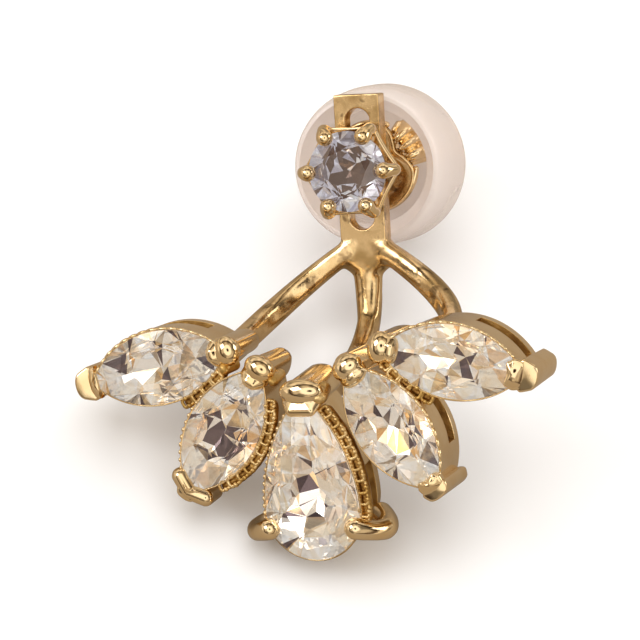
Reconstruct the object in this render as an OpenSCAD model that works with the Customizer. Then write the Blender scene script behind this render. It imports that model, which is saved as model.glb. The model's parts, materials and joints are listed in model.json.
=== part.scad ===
// Ear jacket earring: a round stone stud, a slotted jacket that hangs on its post
// with a fan of five stones below, and a butterfly clutch in a soft sleeve.
// Inside the modules +Y points back from the face of the stud, +Z up and +X to the
// viewer's right, and the origin is the middle of the stud's stone. Every piece is
// then laid down together, the way the earring rests on a table.

/* [Stud] */
// Diameter of the round stone
round_d = 3.4; // [3:0.1:3.8]
// Distance from the stone's girdle to the back of the stud head
head_depth = 1.5; // [1.4:0.05:1.9]
// Thickness of a claw's wire
claw_d = 0.46; // [0.36:0.02:0.54]
// Diameter of the bead that ends a claw
claw_bead_d = 0.64; // [0.5:0.02:0.76]
// Diameter of the disc that joins the claws to the post
head_disc_d = 1.3; // [1.1:0.05:1.6]
// Diameter of the ear post
post_d = 0.8; // [0.7:0.02:0.9]
// Length of the post behind the stud head
post_len = 10; // [9:0.5:12]
// Length of the post's end beyond its notch
post_tip_len = 2; // [1.5:0.1:2.5]
// Width of the notch round the post
notch_w = 0.55; // [0.5:0.05:0.6]
// Depth of the notch round the post
notch_depth = 0.16; // [0.1:0.01:0.18]

/* [Jacket] */
// Gap between the stud head, the jacket and the clutch when pushed together
running_gap = 0.1; // [0.06:0.02:0.2]
// Width of the slotted plate
plate_w = 2; // [1.8:0.05:2.4]
// Thickness of the slotted plate
plate_t = 0.8; // [0.6:0.05:1]
// Width of the slot that the post goes through
slot_w = 1.1; // [1:0.02:1.3]
// Length of the slot from end to end
slot_len = 5.15; // [4.4:0.05:5.8]
// Metal above the slot and below it
slot_end_wall = 0.6; // [0.45:0.05:0.9]
// Width of an arm
arm_w = 1.02; // [0.8:0.02:1.2]
// Thickness of an arm
arm_t = 0.88; // [0.7:0.02:1.1]
// Distance that the fan of stones stands in front of the slotted plate
reach = 8.6; // [7.6:0.1:9.4]
// Drop from the plate's foot to the middle of the pear stone
fan_drop = 8.8; // [8.4:0.1:9.6]

/* [Fan stones] */
// Length of the pear stone
pear_len = 7; // [6.6:0.1:7.4]
// Width of the pear stone
pear_w = 4; // [3.7:0.1:4.3]
// Length of a marquise stone
marquise_len = 6; // [5.7:0.1:6.3]
// Width of a marquise stone
marquise_w = 3; // [2.8:0.05:3.2]
// Metal between the pear and an inner marquise, on the line of their middles
inner_gap = 0.6; // [0.5:0.02:0.7]
// Metal between an inner and an outer marquise, on the line of their middles
outer_gap = 0.78; // [0.7:0.02:0.86]
// Angle that the inner marquises turn away from the pear's axis
inner_turn = 34.5; // [32:0.5:38]
// Angle that the outer marquises turn away from the pear's axis
outer_turn = 78.5; // [76:0.5:82]
// Angle that the pear stone looks down
pear_pitch = 9; // [6:0.5:12]
// Angle that the marquise stones look down
marquise_pitch = 3; // [1:0.5:5]

/* [Fan settings] */
// Depth of a setting behind its stone's girdle
setting_depth = 3; // [2.6:0.1:3.4]
// Wall of a setting outside its stone's girdle
rim_w = 0.12; // [0.1:0.01:0.16]
// Height of the beaded rim above the girdle
rim_rise = 0.14; // [0.1:0.01:0.2]
// Ledge under a stone's girdle
ledge_w = 0.36; // [0.3:0.02:0.5]
// Length of the window in the side of a setting
window_len = 2.3; // [1.8:0.1:2.6]
// Height of the window in the side of a setting
window_h = 1; // [0.7:0.05:1.2]
// Width of the cap over a marquise stone's tip
cap_w = 1.3; // [1.1:0.02:1.5]
// Width of the broad caps at the two ends of the fan
end_cap_w = 1.5; // [1.3:0.05:1.7]
// Length of the cap over a marquise stone's tip
cap_len = 1.2; // [1:0.05:1.4]
// Width of the cap over the pear stone's tip
pear_cap_w = 1.8; // [1.5:0.05:2]
// Thickness of the round wire claws at the pear's foot
pear_claw_d = 0.86; // [0.7:0.02:0.9]
// Diameter of the bead that ends a round wire claw
pear_bead_d = 0.94; // [0.9:0.02:1]
// Clearance between a stone and the metal round it
stone_gap = 0.04; // [0.02:0.01:0.08]

/* [Clutch] */
// Diameter of the soft sleeve at its widest
sleeve_d = 6.9; // [6.8:0.1:7.8]
// Length of the soft sleeve along the post
sleeve_len = 4.8; // [4.6:0.1:5.4]
// Diameter of the sleeve's front rim, where its mouth begins
rim_d = 5.7; // [5.3:0.1:5.9]
// Diameter of the narrow lip that holds the metal in
lip_d = 3.5; // [3:0.1:3.8]
// Depth of the mouth, from the front rim to the metal disc
mouth_depth = 1.1; // [0.9:0.05:1.2]
// Diameter of the metal disc of the clutch
disc_d = 4; // [3.9:0.05:4.4]
// Thickness of the clutch's sheet metal
sheet_t = 0.25; // [0.2:0.01:0.3]
// Outer diameter of a rolled wing
roll_d = 1.9; // [1.7:0.02:1.94]
// Width of a rolled wing
roll_w = 1.8; // [1.4:0.05:1.9]
// Angle that the wings turn from level
wing_turn = 32; // [0:1:60]
// Clearance between the post and the hole that slides on it
bore_gap = 0.05; // [0.03:0.01:0.08]
// Clearance between the clutch's metal and the sleeve round it
seat_gap = 0.05; // [0.03:0.01:0.08]

/* [Hidden] */
round_fn = 48;
small_fn = 16;
hair = 0.01;

// Proportions of a cut stone, as shares of its width
crown_share = 0.15;
pavilion_share = 0.36;
girdle_share = 0.03;
table_share = 0.58;
keel_share = 0.3;

// Places along the post
head_back = head_depth;
plate_front = head_back + running_gap;
plate_back = plate_front + plate_t;
clutch_front = plate_back + running_gap;
post_end = head_back + post_len;

// The slotted plate's ends
plate_top = slot_len / 2 + slot_end_wall;
plate_foot = -plate_top;
plate_mid = plate_front + plate_t / 2;

// The fan is built outwards from the pear, one stone after another
fan_face = plate_front - reach;
fan_z = plate_foot - fan_drop;
inner_step = (pear_w + marquise_w) / 2 + inner_gap;
inner_step_angle = 28;
outer_step = marquise_w + outer_gap;
outer_step_angle = 45;
inner_x = inner_step * cos(inner_step_angle);
inner_z = fan_z + inner_step * sin(inner_step_angle);
outer_x = inner_x + outer_step * cos(outer_step_angle);
outer_z = inner_z + outer_step * sin(outer_step_angle);
wall_back_share = 0.95;

// Where the windows sit: their middles as shares of a stone's length from its middle
// towards the inner tip, and how deep they lie as a share of the setting's depth
pear_window_at = -0.17;
inner_window_at = -0.11;
outer_left_window_at = 0.13;
outer_right_window_at = -0.25;
window_depth_share = 0.66;

// The metal between two neighbouring stones: its length, and how far it reaches into
// the wall of each
inner_web_len = 2;
outer_web_len = 1.6;
web_overlap = 0.1;

// A tip cap: how far its end stands out past the stone, its end's, nose's and shoulders'
// radii, how high its top lies as a share of the crown, and its foot's share of its width
cap_out = 0.22;
foot_cap_out = 0;
cap_end_r = 0.34;
cap_nose_r = 0.22;
cap_shoulder_r = 0.26;
cap_rise_share = 0.45;
cap_foot_share = 0.86;

// The pear's wire claws, in the stone's own frame: bead, knee and heel as shares of its width
pear_bead = pear_w * [0.46, -0.525, 0.075];
pear_knee = pear_w * [0.685, -0.6125, -0.2];
pear_heel = pear_w * [0.525, -0.575, -0.6];

// The earring rests on its post's end, the pear setting's back and the foot of the left
// inner setting's lower cap. The plane through these three points is the table.
post_touch_angle = 30;
pear_touch_corner = 4;
foot_touch_angle = 0;
post_touch = [-post_d / 2 * sin(post_touch_angle), post_end, -post_d / 2 * cos(post_touch_angle)];
pear_back = wall_back_share * fan_outline("pear", rim_w)[pear_touch_corner];
pear_touch = pear_place([pear_back[0], pear_back[1], -setting_depth]);
foot_r = cap_w * cap_foot_share / 2;
foot_mid = marquise_len / 2 + foot_cap_out + cap_end_r - foot_r;
foot_touch = inner_place(-1,
    [foot_r * sin(foot_touch_angle), -foot_mid - foot_r * cos(foot_touch_angle), -setting_depth]);
table_up = unit(cross(foot_touch - post_touch, pear_touch - post_touch));
lean = atan2(table_up[1], table_up[2]);
roll = -atan2(table_up[0], norm([table_up[1], table_up[2]]));

// Two arcs that meet in a point above and below
function marquise_outline(len, w, n = 8) =
    let (r = (len * len + w * w) / (4 * w), a = asin(len / 2 / r))
    concat(
        [for (i = [0:n - 1]) let (t = -a + 2 * a * i / n) [r * cos(t) - r + w / 2, r * sin(t)]],
        [for (i = [0:n - 1]) let (t = -a + 2 * a * i / n) [r - w / 2 - r * cos(t), -r * sin(t)]]
    );

// A half circle below and two arcs that meet in a point above
function pear_outline(len, w, n = 10, side_n = 6) =
    let (r = w / 2, low = r - len / 2, h = len - r, big = (h * h + r * r) / (2 * r), a = asin(h / big))
    concat(
        [for (i = [0:n]) let (t = 180 + 180 * i / n) [r * cos(t), low + r * sin(t)]],
        [for (i = [1:side_n]) let (t = a * i / side_n) [big * cos(t) - big + r, low + big * sin(t)]],
        [for (i = [side_n - 1:-1:1]) let (t = a * i / side_n) [big - r - big * cos(t), low + big * sin(t)]]
    );

// The outline of a fan stone, grown all round
function fan_outline(kind, grow = 0) = kind == "pear"
    ? pear_outline(pear_len + 2 * grow, pear_w + 2 * grow)
    : marquise_outline(marquise_len + 2 * grow, marquise_w + 2 * grow);
function fan_width(kind) = kind == "pear" ? pear_w : marquise_w;
function fan_length(kind) = kind == "pear" ? pear_len : marquise_len;

// Carries children from a stone's own frame, face up along +Z, to its place in the fan
module at_place(x, z, pitch, turn) {
    translate([x, fan_face, z]) rotate([90 + pitch, 0, 0]) rotate([0, 0, turn]) children();
}

// The same carried place of one point
function place(x, z, pitch, turn, p) = let (
        u = [p[0] * cos(turn) - p[1] * sin(turn), p[0] * sin(turn) + p[1] * cos(turn), p[2]],
        a = 90 + pitch)
    [x + u[0], fan_face + u[1] * cos(a) - u[2] * sin(a), z + u[1] * sin(a) + u[2] * cos(a)];
function pear_place(p) = place(0, fan_z, pear_pitch, 0, p);
function inner_place(side, p) = place(side * inner_x, inner_z, marquise_pitch, side * inner_turn, p);
function outer_place(side, p) = place(side * outer_x, outer_z, marquise_pitch, side * outer_turn, p);

module at_pear() {
    at_place(0, fan_z, pear_pitch, 0) children();
}

module at_inner(side) {
    at_place(side * inner_x, inner_z, marquise_pitch, side * inner_turn) children();
}

module at_outer(side) {
    at_place(side * outer_x, outer_z, marquise_pitch, side * outer_turn) children();
}

// A cut stone: flat table, sloping crown, thin girdle and a pavilion that ends in a keel
module cut_stone(outline, w, keel, grow) {
    girdle = w * girdle_share;
    hull() {
        translate([0, 0, w * crown_share + grow - hair])
            linear_extrude(hair) scale(table_share) polygon(outline);
        translate([0, 0, -girdle / 2]) linear_extrude(girdle) polygon(outline);
        translate([0, 0, -w * pavilion_share - grow])
            linear_extrude(hair) scale([hair, keel]) polygon(outline);
    }
}

module fan_stone(kind, grow = 0) {
    cut_stone(fan_outline(kind, grow), fan_width(kind), keel_share, grow);
}

// A slot with round ends that runs along Y
module slot_shape(len, w) {
    square([w, len - w], center = true);
    for (side = [-1, 1]) translate([0, side * (len - w) / 2]) circle(d = w, $fn = small_fn);
}

// The wall of one setting, open at the back, with a window in each side
module setting_wall(kind, window_at) {
    difference() {
        setting_block(kind, rim_w);
        translate([0, 0, -2 * setting_depth]) linear_extrude(3 * setting_depth)
            polygon(fan_outline(kind, -ledge_w));
        translate([0, window_at * fan_length(kind), -window_depth_share * setting_depth])
            rotate([0, 90, 0]) linear_extrude(2 * fan_width(kind), center = true)
                slot_shape(window_len, window_h);
    }
}

// The solid block round a stone that a setting is cut from
module setting_block(kind, grow) {
    translate([0, 0, rim_rise]) mirror([0, 0, 1])
        linear_extrude(setting_depth + rim_rise, scale = wall_back_share) polygon(fan_outline(kind, grow));
}

// A cap that folds over a stone's tip, and the post that carries it from the back
module tip_cap(kind, end, w, out = cap_out) {
    tip = fan_length(kind) / 2;
    rise = fan_width(kind) * crown_share * cap_rise_share;
    foot = w * cap_foot_share / 2;
    scale([1, end, 1]) hull() {
        translate([0, tip + cap_out - cap_len, rise]) sphere(cap_nose_r, $fn = small_fn);
        for (side = [-1, 1]) translate([side * (w / 2 - cap_shoulder_r), tip - cap_len / 4, rise / 2])
            sphere(cap_shoulder_r, $fn = small_fn);
        translate([0, tip + out, 0]) sphere(cap_end_r, $fn = small_fn);
        translate([0, tip + out + cap_end_r - foot, -setting_depth])
            cylinder(r = foot, h = hair, $fn = small_fn);
    }
}

// A round wire claw at the pear's foot: a bead on the stone, then wire bowed outwards
module pear_claw(side) {
    scale([side, 1, 1]) {
        translate(pear_bead) sphere(d = pear_bead_d, $fn = small_fn);
        rod(pear_bead, pear_knee, pear_claw_d);
        rod(pear_knee, pear_heel, pear_claw_d);
    }
}

// A round rod between two points, with ball ends
module rod(a, b, d) {
    way = b - a;
    translate(a) sphere(d = d, $fn = small_fn);
    translate(a) rotate([0, acos(way[2] / norm(way)), atan2(way[1], way[0])])
        cylinder(d = d, h = norm(way), $fn = small_fn);
    translate(b) sphere(d = d, $fn = small_fn);
}

// A point on a curve that four points steer
function curve(p, t) = pow(1 - t, 3) * p[0] + 3 * t * pow(1 - t, 2) * p[1]
    + 3 * t * t * (1 - t) * p[2] + pow(t, 3) * p[3];
function curve_way(p, t) = unit(curve(p, t + hair) - curve(p, t - hair));
function unit(v) = v / norm(v);

// A bar of rounded section swept along a curve; its width lies across the way and aside
module swept_arm(p, aside, rings = 22, sides = 12) {
    points = [for (i = [0:rings]) let (
            t = i / rings,
            way = curve_way(p, t),
            across = unit(cross(way, aside)),
            other = cross(across, way))
        for (k = [0:sides - 1]) let (a = 360 * k / sides)
            curve(p, t) + arm_w / 2 * cos(a) * other + arm_t / 2 * sin(a) * across];
    faces = concat(
        [[for (k = [0:sides - 1]) k]],
        [for (i = [0:rings - 1]) for (k = [0:sides - 1]) let (n = (k + 1) % sides)
            [i * sides + k, (i + 1) * sides + k, (i + 1) * sides + n, i * sides + n]],
        [[for (k = [sides - 1:-1:0]) rings * sides + k]]
    );
    polyhedron(points, faces);
}

// The arms: where each one ends on the fan, and how it bends on the way, as shares of
// its own run from the plate's foot to that end
side_start_out = 0.15;
side_end_in = 0.3;
side_end_depth = 0.9;
side_bend_x = [0.68, 1.13];
side_bend_y = [0.05, 0.04];
side_bend_z = [0.4, 0.86];
middle_end_up = 0.46;
middle_end_depth = 0.75;
middle_bend_y = [-0.17, 0.05];
middle_bend_z = [0.5, 0.97];

// The curve of a side arm: out along the plate, then forwards under the lobe
function side_arm_curve(side) = let (
        end_x = outer_x - side_end_in * marquise_len,
        tip = [side * end_x, fan_face + side_end_depth * setting_depth, outer_z],
        run = [tip[0], tip[1] - plate_mid, tip[2] - plate_foot])
    [[side * plate_w * side_start_out, plate_mid, plate_foot],
     [side_bend_x[0] * run[0], plate_mid + side_bend_y[0] * run[1], plate_foot + side_bend_z[0] * run[2]],
     [side_bend_x[1] * run[0], plate_mid + side_bend_y[1] * run[1], plate_foot + side_bend_z[1] * run[2]],
     tip];

function middle_arm_curve() = let (
        tip = [0, fan_face + middle_end_depth * setting_depth, fan_z + middle_end_up * pear_len],
        run = [0, tip[1] - plate_mid, tip[2] - plate_foot])
    [[0, plate_mid, plate_foot],
     [0, plate_mid + middle_bend_y[0] * run[1], plate_foot + middle_bend_z[0] * run[2]],
     [0, plate_mid + middle_bend_y[1] * run[1], plate_foot + middle_bend_z[1] * run[2]],
     tip];

module plate() {
    translate([0, plate_back, 0]) rotate([90, 0, 0]) linear_extrude(plate_t) difference() {
        square([plate_w, 2 * plate_top], center = true);
        slot_shape(slot_len, slot_w);
    }
}

// Where the three arms leave the plate's foot; how far the web follows them
web_reach = 0.12;

module plate_web() {
    hull() {
        translate([-plate_w / 2, plate_front, plate_foot]) cube([plate_w, plate_t, slot_end_wall / 2]);
        for (side = [-1, 1]) translate(curve(side_arm_curve(side), web_reach))
            sphere(d = arm_t, $fn = small_fn);
        translate(curve(middle_arm_curve(), web_reach)) sphere(d = arm_t, $fn = small_fn);
    }
}

// The same turn for one point as for the whole earring
function laid(p) = let (
        y = p[1] * cos(lean) - p[2] * sin(lean),
        z = p[1] * sin(lean) + p[2] * cos(lean))
    [p[0] * cos(roll) + z * sin(roll), y, z * cos(roll) - p[0] * sin(roll)];

// Points at the earring's outermost ends, each with the radius of the metal round it
end_foot_r = end_cap_w * cap_foot_share / 2;
end_foot_mid = marquise_len / 2 + cap_out + cap_end_r - end_foot_r;
function end_foot(side, a) = outer_place(side,
    [end_foot_r * sin(a), -end_foot_mid + end_foot_r * cos(a), -setting_depth]);
ends = concat(
    [for (side = [-1, 1]) concat(laid(outer_place(side, [0, -marquise_len / 2 - cap_out, 0])), cap_end_r)],
    [for (side = [-1, 1]) for (k = [0:small_fn - 1]) concat(laid(end_foot(side, 360 * k / small_fn)), 0)],
    [concat(laid(pear_place([0, -pear_len / 2 - rim_w, rim_rise])), 0)],
    [concat(laid([0, post_end, post_d / 2]), 0)]
);
function middle(axis) = (min([for (e = ends) e[axis] - e[3]]) + max([for (e = ends) e[axis] + e[3]])) / 2;

module lay_down() {
    translate([-middle(0), -middle(1), -laid(post_touch)[2]]) rotate([lean, roll, 0]) children();
}

// Metal that fills the narrow place between two neighbouring settings, round (x, z)
module web(x, z, len) {
    intersection() {
        translate([x, fan_face, z]) rotate([90, 0, 0])
            cylinder(d = len, h = 4 * setting_depth, center = true, $fn = small_fn);
        children(0);
        children(1);
    }
}

module webs(side) {
    pear_side = (pear_w + inner_gap) / 2;
    outer_side = (marquise_w + outer_gap) / 2;
    outer_web_x = inner_x + outer_side * cos(outer_step_angle);
    web(side * pear_side * cos(inner_step_angle), fan_z + pear_side * sin(inner_step_angle), inner_web_len) {
        at_pear() setting_block("pear", inner_gap + web_overlap);
        at_inner(side) setting_block("marquise", inner_gap + web_overlap);
    }
    web(side * outer_web_x, inner_z + outer_side * sin(outer_step_angle), outer_web_len) {
        at_inner(side) setting_block("marquise", outer_gap + web_overlap);
        at_outer(side) setting_block("marquise", outer_gap + web_overlap);
    }
}

module jacket_frame() {
    color("goldenrod") lay_down() difference() {
        union() {
            plate();
            plate_web();
            swept_arm(middle_arm_curve(), [1, 0, 0]);
            at_pear() {
                setting_wall("pear", pear_window_at);
                tip_cap("pear", 1, pear_cap_w);
                for (side = [-1, 1]) pear_claw(side);
            }
            for (side = [-1, 1]) {
                swept_arm(side_arm_curve(side), [0, 0, 1]);
                at_inner(side) setting_wall("marquise", inner_window_at);
                at_outer(side)
                    setting_wall("marquise", side < 0 ? outer_left_window_at : outer_right_window_at);
                at_inner(side) tip_cap("marquise", -1, cap_w, foot_cap_out);
                at_inner(side) tip_cap("marquise", 1, cap_w);
                at_outer(side) tip_cap("marquise", -1, end_cap_w);
                at_outer(side) tip_cap("marquise", 1, cap_w);
                webs(side);
            }
        }
        at_pear() fan_stone("pear", stone_gap);
        for (side = [-1, 1]) {
            at_inner(side) fan_stone("marquise", stone_gap);
            at_outer(side) fan_stone("marquise", stone_gap);
        }
    }
}

module pear_stone() {
    color("bisque") lay_down() at_pear() fan_stone("pear");
}

module inner_stone(side) {
    color("bisque") lay_down() at_inner(side) fan_stone("marquise");
}

module outer_stone(side) {
    color("bisque") lay_down() at_outer(side) fan_stone("marquise");
}

function round_outline(d, n = 16) = [for (i = [0:n - 1]) d / 2 * [cos(360 * i / n), sin(360 * i / n)]];

module stud_stone() {
    color("lavender") lay_down() rotate([90, 0, 0]) cut_stone(round_outline(round_d), round_d, hair, 0);
}

// The room that the round stone takes in its head, as true cones
module round_room() {
    r = round_d / 2 + stone_gap;
    crown = round_d * crown_share;
    girdle = round_d * girdle_share + 2 * stone_gap;
    pavilion = round_d * pavilion_share;
    translate([0, 0, girdle / 2]) cylinder(r1 = r, r2 = r * table_share, h = crown, $fn = round_fn);
    translate([0, 0, -girdle / 2]) cylinder(r = r, h = girdle, $fn = round_fn);
    translate([0, 0, -girdle / 2 - pavilion]) cylinder(r1 = hair, r2 = r, h = pavilion, $fn = round_fn);
}

// A claw: how far its knee stands out past the stone and its bead in over it, and how
// high each one lies against the girdle
claw_knee_out = 0.22;
claw_bead_in = 0.06;
claw_knee_h = -0.2;
claw_bead_h = 0.28;

// One claw: from the disc out to a knee beside the girdle, then in over the stone to its bead
module stud_claw() {
    hull() {
        translate([(head_disc_d - claw_d) / 2, 0, claw_d / 2 - head_depth]) sphere(d = claw_d, $fn = small_fn);
        translate([(round_d + claw_d) / 2 + claw_knee_out, 0, claw_knee_h]) sphere(d = claw_d, $fn = small_fn);
        translate([round_d / 2 - claw_bead_in, 0, claw_bead_h]) sphere(d = claw_bead_d, $fn = small_fn);
    }
}

// The post, with a notch near its free end
module post() {
    notch_z = -post_end + post_tip_len;
    translate([0, 0, -post_end]) cylinder(d = post_d, h = post_tip_len, $fn = round_fn);
    translate([0, 0, notch_z - hair])
        cylinder(d = post_d - 2 * notch_depth, h = notch_w + 2 * hair, $fn = round_fn);
    translate([0, 0, notch_z + notch_w])
        cylinder(d = post_d, h = post_len - post_tip_len - notch_w + hair, $fn = round_fn);
}

// The ring that ties the claws together half-way down: its place and its wire
gallery_r_share = 0.58;
gallery_depth_share = 0.45;
gallery_wire_share = 0.6;
head_disc_share = 0.55;

module stud_setting() {
    color("darkkhaki") lay_down() rotate([90, 0, 0]) {
        difference() {
            union() {
                for (i = [0:5]) rotate([0, 0, 60 * i]) stud_claw();
                translate([0, 0, -head_depth * gallery_depth_share]) rotate_extrude($fn = round_fn)
                    translate([gallery_r_share * (head_disc_d + round_d) / 2, 0])
                        circle(d = claw_d * gallery_wire_share, $fn = small_fn);
            }
            round_room();
        }
        translate([0, 0, -head_depth]) cylinder(d = head_disc_d, h = claw_d * head_disc_share, $fn = round_fn);
        post();
    }
}

// A strip that rolls through an angle, seen from its side
function roll_outline(r, t, from, to, n = 14) = concat(
    [for (i = [0:n]) let (a = from + (to - from) * i / n) r * [cos(a), sin(a)]],
    [for (i = [n:-1:0]) let (a = from + (to - from) * i / n) (r - t) * [cos(a), sin(a)]]
);

// The clutch: the metal's grip on the post and its place behind the sleeve's mouth
grip_r = post_d / 2 + bore_gap;
metal_front = clutch_front + mouth_depth;
roll_from = -90;
roll_to = 150;

// A disc in front, and two wings that roll back from it and in to the post
module clutch_metal() {
    roll_r = roll_d / 2;
    color("khaki") lay_down() translate([0, metal_front, 0]) rotate([-90, 0, 0]) difference() {
        union() {
            cylinder(d = disc_d, h = sheet_t, $fn = round_fn);
            for (side = [0, 180]) rotate([0, 0, side - wing_turn])
                translate([grip_r + roll_r, roll_w / 2, roll_r]) rotate([90, 0, 0])
                    linear_extrude(roll_w) polygon(roll_outline(roll_r, sheet_t, roll_from, roll_to));
        }
        translate([0, 0, -hair]) cylinder(r = grip_r, h = 2 * roll_d, $fn = round_fn);
    }
}

// The sleeve's outside: a rounded front edge, a straight waist and a longer rounded back
front_round = 1.8;
back_round = 1.7;
back_flat_share = 0.36;
front_flat = 0.12;
lip_len = 0.3;

// A soft sleeve with a mouth in front, a hollow for the metal and a hole for the post
module clutch_silicone() {
    r = sleeve_d / 2;
    rim_r = rim_d / 2 + front_flat;
    flat_r = back_flat_share * r;
    back = clutch_front + sleeve_len;
    hollow_r = norm([grip_r + roll_d, roll_w / 2]) + seat_gap;
    hollow_front = metal_front - seat_gap;
    hollow_back = metal_front + roll_d + seat_gap;
    profile = concat(
        [[grip_r, back], [grip_r, hollow_back], [hollow_r, hollow_back], [hollow_r, hollow_front],
         [lip_d / 2, hollow_front], [lip_d / 2, hollow_front - lip_len], [rim_d / 2, clutch_front]],
        [for (i = [0:8]) let (a = 90 * i / 8)
            [rim_r + (r - rim_r) * sin(a), clutch_front + front_round * (1 - cos(a))]],
        [for (i = [0:10]) let (a = 90 * i / 10)
            [flat_r + (r - flat_r) * cos(a), back + back_round * (sin(a) - 1)]]
    );
    color("mistyrose") lay_down() rotate([-90, 0, 0]) rotate_extrude($fn = round_fn) polygon(profile);
}

jacket_frame();
pear_stone();
inner_stone(-1);  // inner_stone_left
inner_stone(1);  // inner_stone_right
outer_stone(-1);  // outer_stone_left
outer_stone(1);  // outer_stone_right
stud_setting();
stud_stone();
clutch_metal();
clutch_silicone();
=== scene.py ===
# Ear jacket earring laid down for its portrait: a round stud, a slotted jacket with a
# fan of five stones under it, and a butterfly clutch in a soft sleeve behind.
import bmesh
import bpy
import json
import math
import random
from mathutils import Matrix, Vector

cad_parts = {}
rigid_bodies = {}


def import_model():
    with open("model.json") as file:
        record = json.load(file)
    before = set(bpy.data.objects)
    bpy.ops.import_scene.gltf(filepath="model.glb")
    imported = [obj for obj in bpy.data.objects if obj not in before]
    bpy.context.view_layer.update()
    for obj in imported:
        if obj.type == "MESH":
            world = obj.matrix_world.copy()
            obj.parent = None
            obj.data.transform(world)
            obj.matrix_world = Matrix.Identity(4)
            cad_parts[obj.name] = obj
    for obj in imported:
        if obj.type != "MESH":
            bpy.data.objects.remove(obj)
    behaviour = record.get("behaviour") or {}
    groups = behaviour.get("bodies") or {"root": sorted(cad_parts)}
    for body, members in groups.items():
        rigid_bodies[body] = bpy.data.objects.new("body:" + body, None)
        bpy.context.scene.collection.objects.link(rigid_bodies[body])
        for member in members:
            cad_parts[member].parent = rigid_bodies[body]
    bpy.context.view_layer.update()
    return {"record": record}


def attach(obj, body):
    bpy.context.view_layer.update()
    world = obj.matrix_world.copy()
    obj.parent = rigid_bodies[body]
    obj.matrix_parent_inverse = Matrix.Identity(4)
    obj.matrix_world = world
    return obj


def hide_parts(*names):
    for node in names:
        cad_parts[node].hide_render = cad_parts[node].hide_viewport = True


for spare in list(bpy.data.objects):
    bpy.data.objects.remove(spare)
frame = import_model()

# Places along the post and in the fan, in millimetres from the middle of the round stone:
# +Y runs back along the post, +Z up and +X to the right of someone facing the stones
earring = {
    "plateFront": 1.6, "plateBack": 2.4, "plateTop": 3.175, "clutchFront": 2.5,
    "postEnd": 11.5, "pinMiddle": 10.5, "fanFace": -7.0, "settingDepth": 3.0,
}
fan = {
    "pear": {"kind": "pear", "length": 7, "width": 4, "spot": (0, -11.975, 9, 0), "window": -.17},
    "innerLeft": {"kind": "marquise", "length": 6, "width": 3, "spot": (-3.62, -10.05, 3, -34.5), "window": -.11,
                  "darkReflectionShare": .45},
    "innerRight": {"kind": "marquise", "length": 6, "width": 3, "spot": (3.62, -10.05, 3, 34.5), "window": -.11},
    "outerLeft": {"kind": "marquise", "length": 6, "width": 3, "spot": (-6.293, -7.377, 3, -78.5), "window": .13},
    "outerRight": {"kind": "marquise", "length": 6, "width": 3, "spot": (6.293, -7.377, 3, 78.5), "window": -.25},
}
roundStone = {"kind": "round", "length": 3.4, "width": 3.4}


def layFromPin(pin):
    # The post's free end says how the earring lies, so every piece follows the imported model
    along = Vector(pin["axis"])
    lean = -math.acos(along.y)
    roll = math.atan2(along.x / math.sin(lean), along.z / math.sin(lean))
    turn = Matrix.Rotation(roll, 4, "Y") @ Matrix.Rotation(lean, 4, "X")
    post = turn @ Vector((0, earring["pinMiddle"] / 1000, 0))
    return Matrix.Translation(Vector(pin["pos_m"]) - post) @ turn @ Matrix.Scale(.001, 4)


laid = layFromPin(next(m for m in frame["record"]["mounts"] if m["name"] == "post_end"))
upright = Matrix.Rotation(math.radians(90), 4, "X")  # a stone's own +Z to the front


def stoneSpot(stone):
    x, z, pitch, turn = stone["spot"]
    return (Matrix.Translation((x, earring["fanFace"], z))
            @ Matrix.Rotation(math.radians(90 + pitch), 4, "X") @ Matrix.Rotation(math.radians(turn), 4, "Z"))


# How meshes are made

def linked(name, data):
    item = bpy.data.objects.new(name, data)
    bpy.context.scene.collection.objects.link(item)
    return item


def skin(bm, rows, closed=True):
    # Faces between each row of points and the next
    count = len(rows[0])
    for low, high in zip(rows, rows[1:]):
        for k in range(count if closed else count - 1):
            n = (k + 1) % count
            bm.faces.new((low[k], low[n], high[n], high[k]))


def meshPiece(name, bm, materials=(), smoothAngle=None):
    bmesh.ops.recalc_face_normals(bm, faces=bm.faces)
    mesh = bpy.data.meshes.new(name)
    bm.to_mesh(mesh)
    bm.free()
    for material in materials:
        mesh.materials.append(material)
    mesh.shade_flat() if smoothAngle is None else mesh.shade_smooth()
    if smoothAngle:
        mesh.set_sharp_from_angle(angle=math.radians(smoothAngle))
    return linked(name, mesh)


def plainMesh(piece):
    # What the modifiers make becomes the piece's own mesh
    bpy.context.view_layer.update()
    graph = bpy.context.evaluated_depsgraph_get()
    mesh = bpy.data.meshes.new_from_object(piece.evaluated_get(graph), preserve_all_data_layers=True, depsgraph=graph)
    old = piece.data
    piece.modifiers.clear()
    piece.data = mesh
    bpy.data.meshes.remove(old)
    return piece


def bevelled(piece, width, segments=2, angle=32):
    bevel = piece.modifiers.new("softEdges", "BEVEL")
    bevel.width, bevel.segments, bevel.angle_limit = width, segments, math.radians(angle)
    bevel.miter_outer = "MITER_ARC"
    normals = piece.modifiers.new("flatFaces", "WEIGHTED_NORMAL")
    normals.keep_sharp, normals.weight = True, 60
    return plainMesh(piece)


def moved(piece, place):
    piece.data.transform(place)
    if place.determinant() < 0:
        piece.data.flip_normals()
    return piece


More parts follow.
